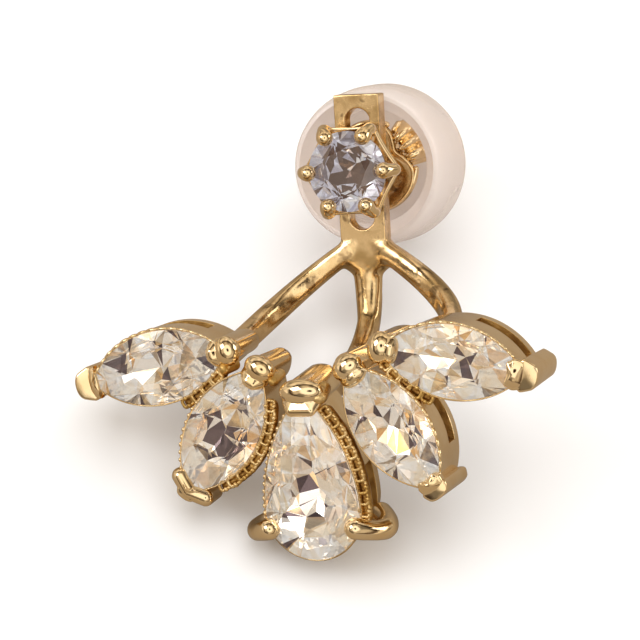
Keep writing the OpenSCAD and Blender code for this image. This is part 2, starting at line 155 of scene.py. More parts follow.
def joined(name, pieces):
    # Several parts made one piece; each part's own materials stay with its faces
    bm = bmesh.new()
    materials = []
    for part in pieces:
        first = len(bm.faces)
        bm.from_mesh(part.data)
        bm.faces.ensure_lookup_table()
        slots = []
        for material in part.data.materials:
            if material not in materials:
                materials.append(material)
            slots.append(materials.index(material))
        for face in bm.faces[first:]:
            face.material_index = slots[min(face.material_index, len(slots) - 1)] if slots else 0
    mesh = bpy.data.meshes.new(name)
    bm.to_mesh(mesh)
    bm.free()
    for material in materials:
        mesh.materials.append(material)
    for part in pieces:
        old = part.data
        bpy.data.objects.remove(part)
        bpy.data.meshes.remove(old)
    return linked(name, mesh)


def handOver(piece, body, slot, *nodes):
    moved(piece, laid)
    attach(piece, body)
    if nodes:
        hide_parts(*nodes)
    print("made", piece.name, len(piece.data.polygons), "faces")


def curvePoint(p, t):
    a, b, c, d = (Vector(q) for q in p)
    return a * (1 - t) ** 3 + b * 3 * t * (1 - t) ** 2 + c * 3 * t * t * (1 - t) + d * t ** 3


def sweep(bm, points, radii, sides=16, flatten=1.0, capRings=5):
    # A bar with round ends along points; flatten is its thickness as a share of its width
    points = [Vector(p) for p in points]
    ways = []
    for i in range(len(points)):
        ways.append((points[min(i + 1, len(points) - 1)] - points[max(i - 1, 0)]).normalized())
    side = ways[0].orthogonal().normalized()
    rings = []

    def ring(middle, way, across, r):
        other = way.cross(across)
        return [bm.verts.new(middle + r * (math.cos(2 * math.pi * k / sides) * across
                                           + flatten * math.sin(2 * math.pi * k / sides) * other))
                for k in range(sides)]
    for k in range(1, capRings):
        a = math.pi / 2 * k / capRings
        rings.append(ring(points[0] - ways[0] * radii[0] * math.cos(a), ways[0], side, radii[0] * math.sin(a)))
    for i, (p, way) in enumerate(zip(points, ways)):
        side = (side - way * side.dot(way)).normalized()
        rings.append(ring(p, way, side, radii[i]))
    for k in range(capRings - 1, 0, -1):
        a = math.pi / 2 * k / capRings
        rings.append(ring(points[-1] + ways[-1] * radii[-1] * math.cos(a), ways[-1], side, radii[-1] * math.sin(a)))
    ends = [bm.verts.new(points[0] - ways[0] * radii[0]), bm.verts.new(points[-1] + ways[-1] * radii[-1])]
    skin(bm, rings)
    for k in range(sides):
        n = (k + 1) % sides
        bm.faces.new((ends[0], rings[0][n], rings[0][k]))
        bm.faces.new((ends[1], rings[-1][k], rings[-1][n]))


def hullOf(balls, detail=3):
    # The smooth form stretched over a few balls, each a middle, a radius and how it is squashed
    bm = bmesh.new()
    for middle, radius, *squash in balls:
        scale = Vector(squash[0]) if squash else Vector((1, 1, 1))
        place = Matrix.Translation(middle) @ Matrix.Diagonal((scale * radius).to_4d())
        bmesh.ops.create_icosphere(bm, subdivisions=detail, radius=1, matrix=place)
    hull = bmesh.ops.convex_hull(bm, input=bm.verts)
    spare = [g for g in hull["geom_interior"] + hull["geom_unused"] if isinstance(g, bmesh.types.BMVert)]
    bmesh.ops.delete(bm, geom=list(set(spare)), context="VERTS")
    return bm


def lathe(name, profile, steps=96, materials=(), smoothAngle=40):
    # A closed outline of (radius, distance along Y) spun round the post
    bm = bmesh.new()
    rings = []
    for radius, along in profile:
        if radius < 1e-6:
            rings.append([bm.verts.new((0, along, 0))])
        else:
            rings.append([bm.verts.new((radius * math.cos(2 * math.pi * k / steps), along,
                                        radius * math.sin(2 * math.pi * k / steps))) for k in range(steps)])
    for low, high in zip(rings, rings[1:] + rings[:1]):
        for k in range(steps):
            n = (k + 1) % steps
            corners = [low[k % len(low)], low[n % len(low)], high[n % len(high)], high[k % len(high)]]
            corners = list(dict.fromkeys(corners))
            if len(corners) > 2:
                bm.faces.new(corners)
    return meshPiece(name, bm, materials, smoothAngle)


# How node trees are put together

def put(tree, kind, spot, feeds=None, **settings):
    node = tree.nodes.new(kind)
    node.location = spot
    for key, value in settings.items():
        setattr(node, key, value)
    for socket, source in (feeds or {}).items():
        if isinstance(source, bpy.types.Node):
            source = source.outputs[0]
        if isinstance(source, bpy.types.NodeSocket):
            tree.links.new(source, node.inputs[socket])
        else:
            node.inputs[socket].default_value = source
    return node


def geo(tree, kind, spot, feeds=None, **settings):
    return put(tree, "GeometryNode" + kind, spot, feeds, **settings)


def maths(tree, spot, operation, *values, **settings):
    return put(tree, "ShaderNodeMath", spot, dict(enumerate(values)), operation=operation, **settings).outputs[0]


def noise(tree, spot, here, scale, detail, **more):
    feeds = {"Vector": here, "Scale": scale, "Detail": detail, **more}
    return put(tree, "ShaderNodeTexNoise", spot, feeds).outputs[0]


def stretch(tree, spot, value, low, high, lowest=0, highest=1):
    # Stretches what lies between low and high so that it runs from lowest to highest
    feeds = {"Value": value, "From Min": low, "From Max": high, "To Min": lowest, "To Max": highest}
    return put(tree, "ShaderNodeMapRange", spot, feeds).outputs[0]


def blend(tree, spot, share, first, second):
    return put(tree, "ShaderNodeMix", spot, {"Factor": share, 6: first, 7: second}, data_type="RGBA").outputs[2]


def setStops(ramp, colors, span=1):
    stops = ramp.color_ramp.elements
    for k, (place, color) in enumerate(colors):
        stop = stops[k] if k < 2 else stops.new(place / span)
        stop.position, stop.color = place / span, (*color, 1)


def newMaterial(name):
    material = bpy.data.materials.new(name)
    material.use_nodes = True
    return material, material.node_tree, material.node_tree.nodes["Principled BSDF"]


def newMakerTree(name, sizes):
    # A geometry tree with its sizes as named inputs
    tree = bpy.data.node_groups.new(name, "GeometryNodeTree")
    tree.interface.new_socket("Geometry", in_out="INPUT", socket_type="NodeSocketGeometry")
    for label, value in sizes.items():
        kind = {int: "NodeSocketInt", float: "NodeSocketFloat", tuple: "NodeSocketVector"}.get(type(value))
        if isinstance(value, bpy.types.Material):
            kind = "NodeSocketMaterial"
        if isinstance(value, bpy.types.Object):
            kind = "NodeSocketObject"
        tree.interface.new_socket(label, in_out="INPUT", socket_type=kind)
    tree.interface.new_socket("Geometry", in_out="OUTPUT", socket_type="NodeSocketGeometry")
    return tree, put(tree, "NodeGroupInput", (-900, 0)).outputs, put(tree, "NodeGroupOutput", (900, 0))


def finishMaker(tree, out, geometry, material):
    whole = geo(tree, "RealizeInstances", (500, 0), {"Geometry": geometry})
    painted = geo(tree, "SetMaterial", (700, 0), {"Geometry": whole, "Material": material})
    tree.links.new(painted.outputs[0], out.inputs[0])


def runMaker(piece, tree, sizes):
    maker = piece.modifiers.new(tree.name, "NODES")
    maker.node_group = tree
    for item in tree.interface.items_tree:
        if item.item_type == "SOCKET" and item.in_out == "INPUT" and item.name in sizes:
            maker[item.identifier] = sizes[item.name]
    return plainMesh(piece)


def wirePath(name, points, closed=False):
    mesh = bpy.data.meshes.new(name)
    edges = [(i, i + 1) for i in range(len(points) - 1)] + ([(len(points) - 1, 0)] if closed else [])
    mesh.from_pydata([tuple(p) for p in points], edges, [])
    return linked(name, mesh)


# The finishes

def newFinishGroup():
    # Cast and polished metal: soft tone changes, fine grain and small pits over the surface
    group = bpy.data.node_groups.new("castMetal", "ShaderNodeTree")
    face = group.interface
    for label, value in {"Tone": (.85, .6, .28, 1), "Deep Tone": (.6, .36, .12, 1)}.items():
        face.new_socket(label, in_out="INPUT", socket_type="NodeSocketColor").default_value = value
    for label, value in {"Roughness": .1, "Grain Size": 5000, "Grain": .2, "Pits": .1, "Dark Blots": 0, "Waves": 0}.items():
        face.new_socket(label, in_out="INPUT", socket_type="NodeSocketFloat").default_value = value
    for label, kind in {"Color": "Color", "Roughness": "Float", "Height": "Float"}.items():
        face.new_socket(label, in_out="OUTPUT", socket_type="NodeSocket" + kind)
    inp = put(group, "NodeGroupInput", (-1200, 0)).outputs
    out = put(group, "NodeGroupOutput", (600, 0))
    here = put(group, "ShaderNodeTexCoord", (-1200, -300)).outputs["Object"]
    cloud = noise(group, (-900, 200), here, 900, 3)
    grain = noise(group, (-900, -50), here, inp["Grain Size"], 4, Roughness=.65)
    pits = put(group, "ShaderNodeTexVoronoi", (-900, -350), {"Vector": here, "Scale": 1700, "Randomness": 1})
    tone = stretch(group, (-600, 250), cloud, .4, .62)
    color = blend(group, (-300, 250), tone, inp["Tone"], inp["Deep Tone"])
    # Random dark brown blots scattered over the surface
    blots = noise(group, (-900, 500), here, 1500, 2, Distortion=.4)
    blotMask = stretch(group, (-600, 500), blots, .6, .69)
    blot = maths(group, (-450, 500), "MULTIPLY", blotMask, inp["Dark Blots"])
    blotted = blend(group, (-100, 400), blot, color, (.16, .09, .035, 1))
    group.links.new(blotted, out.inputs["Color"])
    rough = maths(group, (-600, 0), "MULTIPLY", cloud, .12)
    roughEnd = maths(group, (-300, 0), "ADD", inp["Roughness"], rough)
    group.links.new(roughEnd, out.inputs["Roughness"])
    pitMask = stretch(group, (-600, -350), pits.outputs["Distance"], .05, .2, -1, 0)
    pitDeep = maths(group, (-300, -350), "MULTIPLY", pitMask, inp["Pits"])
    grainUp = maths(group, (-300, -150), "MULTIPLY", grain, inp["Grain"])
    waves = maths(group, (-300, -500), "MULTIPLY", cloud, inp["Waves"])
    fine = maths(group, (0, -250), "ADD", grainUp, pitDeep)
    height = maths(group, (200, -350), "ADD", fine, waves)
    group.links.new(height, out.inputs["Height"])
    return group


castMetal = newFinishGroup()


def newMetal(name, look):
    material, tree, shader = newMaterial(name)
    shader.inputs["Metallic"].default_value = 1
    cast = put(tree, "ShaderNodeGroup", (-600, 0), node_tree=castMetal)
    for label, value in look.items():
        if label in cast.inputs:
            cast.inputs[label].default_value = value
    bump = put(tree, "ShaderNodeBump", (-300, -300),
               {"Height": cast.outputs["Height"], "Distance": look["Depth"], "Strength": .6})
    tree.links.new(cast.outputs["Color"], shader.inputs["Base Color"])
    tree.links.new(cast.outputs["Roughness"], shader.inputs["Roughness"])
    tree.links.new(bump.outputs[0], shader.inputs["Normal"])
    return material


def newGem(name, look):
    material, tree, shader = newMaterial(name)
    shader.inputs["Transmission Weight"].default_value = 1
    shader.inputs["IOR"].default_value = look["ior"]
    here = put(tree, "ShaderNodeTexCoord", (-900, 0)).outputs["Object"]
    cloud = noise(tree, (-700, 0), here, 500, 2)
    spread = stretch(tree, (-500, 0), cloud, .38, .64)
    color = blend(tree, (-300, 0), spread, look["clear"], look["tint"])
    tree.links.new(color, shader.inputs["Base Color"])
    rub = noise(tree, (-700, -300), here, 2600, 4)
    rough = stretch(tree, (-300, -300), rub, .5, .8, 0, .008)
    tree.links.new(rough, shader.inputs["Roughness"])
    return material


def newPaintedReflectionFoil(name, look):
    # The foil on the back of each stone: broken pale, warm and dark patches of painted reflection, with a painted
    # glow, that light the facets
    material, tree, shader = newMaterial(name)
    shader.inputs["Metallic"].default_value = .85
    # The foil's emission is a painted glow that lights the stones from inside
    shader.inputs["Emission Strength"].default_value = look["paintedGlow"]
    here = put(tree, "ShaderNodeTexCoord", (-1300, 0)).outputs["Object"]
    facet = put(tree, "ShaderNodeAttribute", (-1300, 200), attribute_name="paintedReflectionTone")
    cloud = noise(tree, (-1100, 0), here, 1500, 2)
    drift = stretch(tree, (-1100, 200), cloud, .3, .7, -.015, .015)
    both = maths(tree, (-900, 200), "ADD", facet.outputs["Fac"], drift, use_clamp=True)
    patches = put(tree, "ShaderNodeValToRGB", (-700, 200), {"Fac": both})
    setStops(patches, look["colors"])
    dimmed = blend(tree, (-400, 0), look["dim"], patches.outputs[0], (0, 0, 0, 1))
    tree.links.new(dimmed, shader.inputs["Base Color"])
    tree.links.new(patches.outputs[0], shader.inputs["Emission Color"])
    rub = noise(tree, (-900, -300), here, 2600, 4)
    rough = stretch(tree, (-300, -300), rub, .4, .7, .005, .04)
    tree.links.new(rough, shader.inputs["Roughness"])
    return material


def newSleeveRubber(look):
    material, tree, shader = newMaterial("milkySilicone")
    for label, value in look["set"].items():
        shader.inputs[label].default_value = value
    here = put(tree, "ShaderNodeTexCoord", (-1100, 0)).outputs["Object"]
    cloud = noise(tree, (-900, 0), here, 350, 3)
    spread = stretch(tree, (-600, 0), cloud, .3, .7)
    color = blend(tree, (-300, 0), spread, look["milk"], look["blush"])
    tree.links.new(color, shader.inputs["Base Color"])
    touch = noise(tree, (-900, -300), here, 2400, 3)
    rough = stretch(tree, (-300, -200), touch, .3, .7, .18, .26)
    tree.links.new(rough, shader.inputs["Roughness"])
    bump = put(tree, "ShaderNodeBump", (-300, -400), {"Height": cloud, "Distance": .00004, "Strength": .2})
    tree.links.new(bump.outputs[0], shader.inputs["Normal"])
    return material


polishedGold = newMetal("polishedGold", {
    "Tone": (.93, .74, .46, 1), "Deep Tone": (.89, .67, .37, 1), "Roughness": .03, "Grain Size": 9000,
    "Grain": .25, "Pits": .1, "Depth": .00001})
satinGold = newMetal("satinGold", {
    "Tone": (.9, .67, .37, 1), "Deep Tone": (.56, .38, .17, 1), "Roughness": .1, "Grain Size": 6000,
    "Grain": .5, "Pits": .5, "Dark Blots": .7, "Waves": 2.5, "Depth": .00002})
roughCasting = {"Grain Size": 7000, "Grain": 1.0, "Pits": .8, "Depth": .00006}
castGold = newMetal("castGold", {
    **roughCasting, "Tone": (.88, .66, .34, 1), "Deep Tone": (.6, .38, .12, 1), "Roughness": .22})
# Rough cast gold for the insides of the settings and the floor behind the openwork; its darker amber tone is painted
# shade
castGoldInPaintedShade = newMetal("castGoldInPaintedShade", {
    **roughCasting, "Tone": (.62, .38, .12, 1), "Deep Tone": (.34, .18, .05, 1), "Roughness": .3})
# Near-black gold whose dark colour is painted shade, for the seat behind the round stone
paintedShadeGold = newMetal("paintedShadeGold", {
    **roughCasting, "Tone": (.16, .11, .08, 1), "Deep Tone": (.08, .055, .045, 1), "Roughness": .35, "Depth": .00004})
champagneStone = newGem("champagneStone", {"ior": 1.54, "clear": (1, .985, .96, 1), "tint": (1, .95, .88, 1)})
coolStone = newGem("coolStone", {"ior": 1.77, "clear": (.98, .98, 1, 1), "tint": (.92, .92, .98, 1)})
# Foil tones are painted reflections: whites, creams, tans and one dark band, plus a painted glow
champagnePaintedFoil = newPaintedReflectionFoil("champagnePaintedFoil", {"paintedGlow": .24, "dim": .1, "colors": (
    (0, (1, .98, .95)), (.2, (.97, .9, .77)), (.27, (.78, .48, .2)), (.43, (1, 1, 1)), (.66, (.93, .8, .6)),
    (.735, (.15, .11, .12)), (.775, (.15, .11, .12)), (.81, (.86, .64, .36)), (.88, (1, 1, 1)))})
coolPaintedFoil = newPaintedReflectionFoil("coolPaintedFoil", {"paintedGlow": .34, "dim": .3, "colors": (
    (0, (.99, .98, 1)), (.3, (.66, .63, .7)), (.38, (.97, .96, 1)), (.6, (.75, .72, .8)), (.72, (.2, .13, .1)),
    (.86, (.24, .17, .14)), (.9, (1, 1, 1)))})
# The sleeve's faint emission is painted light that brightens the shaded inside of its mouth
sleeveRubber = newSleeveRubber({"milk": (.95, .9, .88, 1), "blush": (.94, .87, .83, 1), "set": {
    "Transmission Weight": .66, "IOR": 1.41, "Emission Color": (1, .89, .84, 1), "Emission Strength": .09}})
print("finishes mixed")


# The stones

def outlineAt(stone, t, side, grow=0):
    # A point of the stone's outline and its outward way, t from the foot (0) to the tip (1)
    length, width = stone["length"] + 2 * grow, stone["width"] + 2 * grow

    def onArc(a, radius, inward=0, lift=0):
        x, y = math.cos(a), math.sin(a)
        return Vector((side * (radius * x - inward), lift + radius * y, 0)), Vector((side * x, y, 0))
    if stone["kind"] == "round":
        return onArc(math.pi * (t - .5), width / 2)
    if stone["kind"] == "pear":
        r = width / 2
        low, high = r - length / 2, length - r
        big = (high * high + r * r) / (2 * r)
        if t < .42:
            return onArc(math.pi / 2 * (t / .42 - 1), r, 0, low)
        return onArc(math.asin(high / big) * (t - .42) / .58, big, big - r, low)
    r = (length ** 2 + width ** 2) / (4 * width)
    return onArc(math.asin(length / 2 / r) * (2 * t - 1), r, r - width / 2)


# The last value of each cut is the share of foot facets that take the painted dark reflection
cuts = {
    "round": {"mains": (0, .25, .5, .75, 1), "shared": (0, 1), "table": .56, "crown": .15, "pavilion": .34,
              "star": .62, "upper": 1.22, "lower": 1.07, "darkReflectionShare": .7},
    "pear": {"mains": (0, .2, .4, .62, .88), "shared": (0,), "table": .58, "crown": .15, "pavilion": .37,
             "star": .6, "upper": 1.25, "lower": 1.08, "darkReflectionShare": .05},
    "marquise": {"mains": (.1, .36, .64, .9), "shared": (), "table": .58, "crown": .15, "pavilion": .38,
                 "star": .6, "upper": 1.25, "lower": 1.08, "darkReflectionShare": .03},
}


def cutStone(name, stone, glass, foil, seed):
    cut = cuts[stone["kind"]]
    width = stone["width"]
    crown, pavilion, half = width * cut["crown"], width * cut["pavilion"], width * .015
    chance = random.Random(seed)
    bm = bmesh.new()
    bmesh.ops.create_cube(bm, size=2, matrix=Matrix.Diagonal((width, stone["length"], width, 1)))

    def grind(point, way):
        result = bmesh.ops.bisect_plane(bm, geom=bm.verts[:] + bm.edges[:] + bm.faces[:], dist=1e-6,
                                        plane_co=point, plane_no=way.normalized(), clear_outer=True)
        rim = [e for e in result["geom_cut"] if isinstance(e, bmesh.types.BMEdge)]
        if rim:
            bmesh.ops.holes_fill(bm, edges=rim, sides=0)
    for side in (-1, 1):  # the girdle
        for k in range(25):
            p, n = outlineAt(stone, k / 24, side)
            grind(p, n)
    right = [(t, 1) for t in cut["mains"]]
    left = [(t, -1) for t in reversed(cut["mains"]) if t not in cut["shared"]]
    mains = right + left
    grind(Vector((0, 0, crown)), Vector((0, 0, 1)))
    between = []  # the quarter places between one main facet and the next
    for (t, side), (nextT, nextSide) in zip(mains, mains[1:] + mains[:1]):
        if side == nextSide or t in cut["shared"] or nextT in cut["shared"]:
            s = side if t not in cut["shared"] else nextSide
            between += [(t + (nextT - t) * .25, s), (t + (nextT - t) * .75, s)]
        else:
            end = 1 if t > .5 else 0
            between += [(t + (end - t) * .45, side), (nextT + (end - nextT) * .45, nextSide)]
        a = outlineAt(stone, t, side)[0] * cut["table"]
        b = outlineAt(stone, nextT, nextSide)[0] * cut["table"]
        out = Vector((0, 0, 1)).cross(a - b)
        if out.dot(a) < 0:
            out = -out
        p, n = outlineAt(stone, t, side)
        slope = math.atan2(crown - half, (1 - cut["table"]) * p.dot(n)) * cut["star"]
        out = out.normalized() * math.sin(slope) + Vector((0, 0, math.cos(slope)))
        grind(Vector((a.x, a.y, crown)), out)
    for t, side in mains:
        p, n = outlineAt(stone, t, side)
        run = (1 - cut["table"]) * p.dot(n)
        grind(p + Vector((0, 0, half)), Vector((n.x * (crown - half), n.y * (crown - half), run)))
        grind(p - Vector((0, 0, half)), Vector((n.x * (pavilion - half), n.y * (pavilion - half), -p.dot(n))))
    for t, side in between:
        p, n = outlineAt(stone, t, side)
        run = (1 - cut["table"]) * p.dot(n)
        up, down = (crown - half) * cut["upper"], (pavilion - half) * cut["lower"]
        grind(p + Vector((0, 0, half)), Vector((n.x * up, n.y * up, run)))
        grind(p - Vector((0, 0, half)), Vector((n.x * down, n.y * down, -p.dot(n))))
    for t, side in mains + between:  # small facets round the foot of the stone
        p, n = outlineAt(stone, t, side)
        steep = .72 + .3 * (chance.random() - .5)
        grind(Vector((p.x * .5, p.y * .5, -.53 * pavilion)),
              Vector((n.x * pavilion * steep, n.y * pavilion * steep, -p.dot(n))))
    bmesh.ops.remove_doubles(bm, verts=bm.verts, dist=2e-3)
    bmesh.ops.dissolve_degenerate(bm, edges=bm.edges, dist=1e-3)
    many = [f for f in bm.faces if f.calc_center_median().z < -half * 1.2 and len(f.verts) > 4]
    bmesh.ops.triangulate(bm, faces=many)
    tones = bm.loops.layers.float_color.new("paintedReflectionTone")
    # Each back facet gets a random painted reflection tone, and on some foot facets a painted dark reflection
    for face in bm.faces:  # every back facet mirrors its own tone, the foot of some stones a dark one
        tone = chance.random()
        if face.calc_center_median().z < -.5 * pavilion and chance.random() < stone.get("darkReflectionShare", cut["darkReflectionShare"]):
            tone = .755
        face.material_index = 1 if face.calc_center_median().z < -half * 1.2 else 0
        for loop in face.loops:
            loop[tones] = (tone, tone, tone, 1)
    return meshPiece(name, bm, (glass, foil))


# The fan's settings

wall = {"rim": .09, "rise": .02, "seat": .02, "ledge": .36, "taper": .95, "windowLength": 2.3, "windowHeight": .9,
        "windowDepth": .66, "edge": .035, "steps": 30}


def settingWall(name, stone):
    depth, rise = earring["settingDepth"], wall["rise"]
    low = -wall["windowDepth"] * depth - wall["windowHeight"] / 2
    levels = [-depth, low, low + wall["windowHeight"], -.8, -.42]
    rows = [(z, wall["rim"]) for z in levels] + [(rise, wall["rim"]), (rise, wall["seat"]), (-.1, wall["seat"])]
    rows += [(z, -wall["ledge"]) for z in reversed(levels)]
    foot, head = (stone["window"] * stone["length"] + s * wall["windowLength"] / 2 for s in (-1, 1))
    base = [k / wall["steps"] for k in range(wall["steps"] + 1)]

    def tAt(y):  # where the outline reaches that height
        lowT, highT = 0, 1
        for _ in range(40):
            mid = (lowT + highT) / 2
            lowT, highT = (mid, highT) if outlineAt(stone, mid, 1)[0].y < y else (lowT, mid)
        return lowT
    edges = [tAt(foot), tAt(head)]
    steps = sorted([t for t in base if min(abs(t - e) for e in edges) > .012] + edges)
    loop = [(t, 1) for t in steps] + [(t, -1) for t in reversed(steps[1:-1])]
    bm = bmesh.new()
    grid = []
    for z, grow in rows:
        size = 1 - (1 - wall["taper"]) * (rise - z) / (depth + rise)
        ring = []
        for t, side in loop:
            p = outlineAt(stone, t, side, grow)[0] * size
            ring.append(bm.verts.new((p.x, p.y, z)))
        grid.append(ring)
    count = len(loop)
    opening = set()
    for k, (t, _) in enumerate(loop):
        nextT = loop[(k + 1) % count][0]
        if min(t, nextT) >= edges[0] - 1e-9 and max(t, nextT) <= edges[1] + 1e-9:
            opening.add(k)
    last = len(rows)
    outerRow, innerRow = 1, last - 3  # the rows below each window edge, outside and inside
    for r in range(last):
        for k in range(count):
            if k in opening and r in (outerRow, innerRow):
                continue
            n, up = (k + 1) % count, (r + 1) % last
            face = bm.faces.new((grid[r][k], grid[r][n], grid[up][n], grid[up][k]))
            # The inner rows and the window sills take the darker cast gold, whose tone is painted shade
            face.material_index = 1 if r >= 7 else 0
    for k in opening:  # the window's sill and head
        n = (k + 1) % count
        for a, b in ((outerRow, innerRow + 1), (outerRow + 1, innerRow)):
            bm.faces.new((grid[a][k], grid[a][n], grid[b][n], grid[b][k])).material_index = 1
        for edge, other in ((k, (k - 1) % count), (n, n)):
            if other not in opening:  # and its ends
                bm.faces.new((grid[outerRow][edge], grid[outerRow + 1][edge],
                              grid[innerRow][edge], grid[innerRow + 1][edge])).material_index = 1
    piece = meshPiece(name, bm, (polishedGold, castGoldInPaintedShade), 40)
    return bevelled(piece, wall["edge"])


milgrain = {"Pitch": .43, "Bead Length": .2, "Bead Width": .09, "Bead Height": .11, "Jitter": .12, "Seed": 3}
scallops = {"Pitch": .43, "Bead Length": .25, "Bead Width": .075, "Bead Height": .1}
specks = {"Pitch": .3, "Bead Length": .1, "Bead Width": .07, "Bead Height": .08}
rimBeads = {  # the side of the stone, from where to where, how far outside it and how high
    "pear": {"side": -1, "from": .3, "to": .9, "grow": .08, "z": .0, "sizes": specks},
    "innerLeft": {"side": -1, "from": .06, "to": .6, "grow": .08, "z": .0, "sizes": specks},
    "innerRight": {"side": 1, "from": .08, "to": .9, "grow": .07, "z": -.02, "sizes": scallops},
    "outerLeft": {"side": -1, "from": .08, "to": .9, "grow": .07, "z": -.02, "sizes": scallops},
    "outerRight": {"side": 1, "from": .08, "to": .9, "grow": .07, "z": -.02, "sizes": scallops},
}


def newMilgrainTree():
    tree, inp, out = newMakerTree("milgrain", dict(milgrain, Finish=polishedGold))
    path = geo(tree, "MeshToCurve", (-700, 0), {"Mesh": inp["Geometry"]})
    steps = geo(tree, "ResampleCurve", (-500, 0),
                {"Curve": path, "Length": inp["Pitch"]}, mode="LENGTH")
    way = geo(tree, "InputTangent", (-700, -300))
    aim = put(tree, "FunctionNodeAlignEulerToVector", (-500, -300), {"Vector": way},
              axis="X", pivot_axis="Z")
    ball = geo(tree, "MeshIcoSphere", (-700, 300), {"Radius": 1.0, "Subdivisions": 2})
    form = put(tree, "ShaderNodeCombineXYZ", (-700, 500),
               {0: inp["Bead Length"], 1: inp["Bead Width"], 2: inp["Bead Height"]})
    bead = geo(tree, "Transform", (-500, 300), {"Geometry": ball, "Scale": form})
    least = maths(tree, (-500, -500), "SUBTRACT", 1.0, inp["Jitter"])
    most = maths(tree, (-500, -700), "ADD", 1.0, inp["Jitter"])
    chance = put(tree, "FunctionNodeRandomValue", (-300, -500), {"Seed": inp["Seed"]}, data_type="FLOAT")
    tree.links.new(least, chance.inputs[2])
    tree.links.new(most, chance.inputs[3])
    beads = geo(tree, "InstanceOnPoints", (-100, 0), {
        "Points": steps, "Instance": bead, "Rotation": aim, "Scale": chance.outputs[1]})
    smooth = geo(tree, "SetShadeSmooth", (200, 0), {"Geometry": beads})
    finishMaker(tree, out, smooth.outputs[0], inp["Finish"])
    return tree


milgrainTree = newMilgrainTree()


def milgrainRow(name, stone, row, seed):
    steps = 40
    low, high = row["from"], row["to"]
    points = [outlineAt(stone, low + (high - low) * k / steps, row["side"], row["grow"])[0] for k in range(steps + 1)]
    path = wirePath(name, [(p.x, p.y, row["z"]) for p in points])
    return runMaker(path, milgrainTree, dict(milgrain, **row["sizes"], Seed=seed, Finish=polishedGold))


def domedPlate(name, outline, low, top, dome, tilt=0.0, edge=.09, shrink=1.0):
    # A polished plate or block: corners cut round, its face domed and its upper edge rolled over
    points = [Vector(q) for q in outline]
    for _ in range(3):
        points = [p.lerp(q, share) for p, q in zip(points, points[1:] + points[:1]) for share in (.25, .75)]
    middle = sum(points, Vector((0, 0))) / len(points)
    reach = sum((p - middle).length for p in points) / len(points)
    flat = 1 - edge / reach
    layers = [(s * flat, top + dome * (1 - s * s)) for s in (.2, .4, .6, .8, .92, 1)]
    for a in (.35, .7, 1.05, 1.4, math.pi / 2):
        layers.append((flat + (1 - flat) * math.sin(a), top - edge * (1 - math.cos(a))))
    deep = top - edge - low
    layers += [(1 + (shrink - 1) * share, top - edge - share * (deep - edge)) for share in (.08, .5, .92)]
    for a in (0, .4, .8, 1.2, math.pi / 2):
        layers.append((shrink - (1 - flat) * (1 - math.cos(a)), low + edge * (1 - math.sin(a))))
    bm = bmesh.new()
    rings = []
    for k, (size, z) in enumerate(layers):
        ring = []
        for p in points:
            q = middle + (p - middle) * size
            ring.append(bm.verts.new((q.x, q.y, z + (tilt * (q.y - middle.y) if k < 11 else 0))))
        rings.append(ring)
    count = len(points)
    skin(bm, rings)
    for ring, z in ((rings[0], top + dome), (rings[-1], low)):
        peak = bm.verts.new((middle.x, middle.y, z))
        for k in range(count):
            bm.faces.new((ring[k], ring[(k + 1) % count], peak))
    return meshPiece(name, bm, (polishedGold,), 75)


# For each tip: the cap's width, how far it folds over the stone and stands past it, and whether its fold is doubled
caps = {
    "pear": ({"width": 1.8, "cover": .9, "past": .22, "doubled": True, "lobes": .4, "nugget": (.74, 3.3, .34)},),
    "innerLeft": ({"width": 1.3, "cover": .8, "past": .22, "doubled": True, "lobes": .12, "nugget": (.72, 2.95, .26)},
                  {"width": 1.0, "cover": .34, "past": 0, "doubled": False, "lobes": .25,
                   "pads": (((-.62, 2.66, -.05), (0, 2.98, 0), .36), ((.74, 2.86, -.1), (.05, 3.0, 0), .36))}),
    "innerRight": ({"width": 1.3, "cover": .62, "past": .3, "doubled": True, "lobes": .1},
                   {"width": 1.2, "cover": .62, "past": .05, "doubled": False, "lobes": .4}),
    "outerLeft": ({"width": 1.25, "cover": .76, "past": .22, "doubled": True, "lobes": .1,
                   "nugget": (.68, 2.75, .28)},
                  {"width": 1.5, "cover": .26, "past": .3, "doubled": False, "lobes": .5, "tilt": .24}),
    "outerRight": ({"width": 1.3, "cover": .62, "past": .3, "doubled": True, "lobes": .15},
                   {"width": 1.4, "cover": .72, "past": .3, "doubled": False, "lobes": .45}),
}


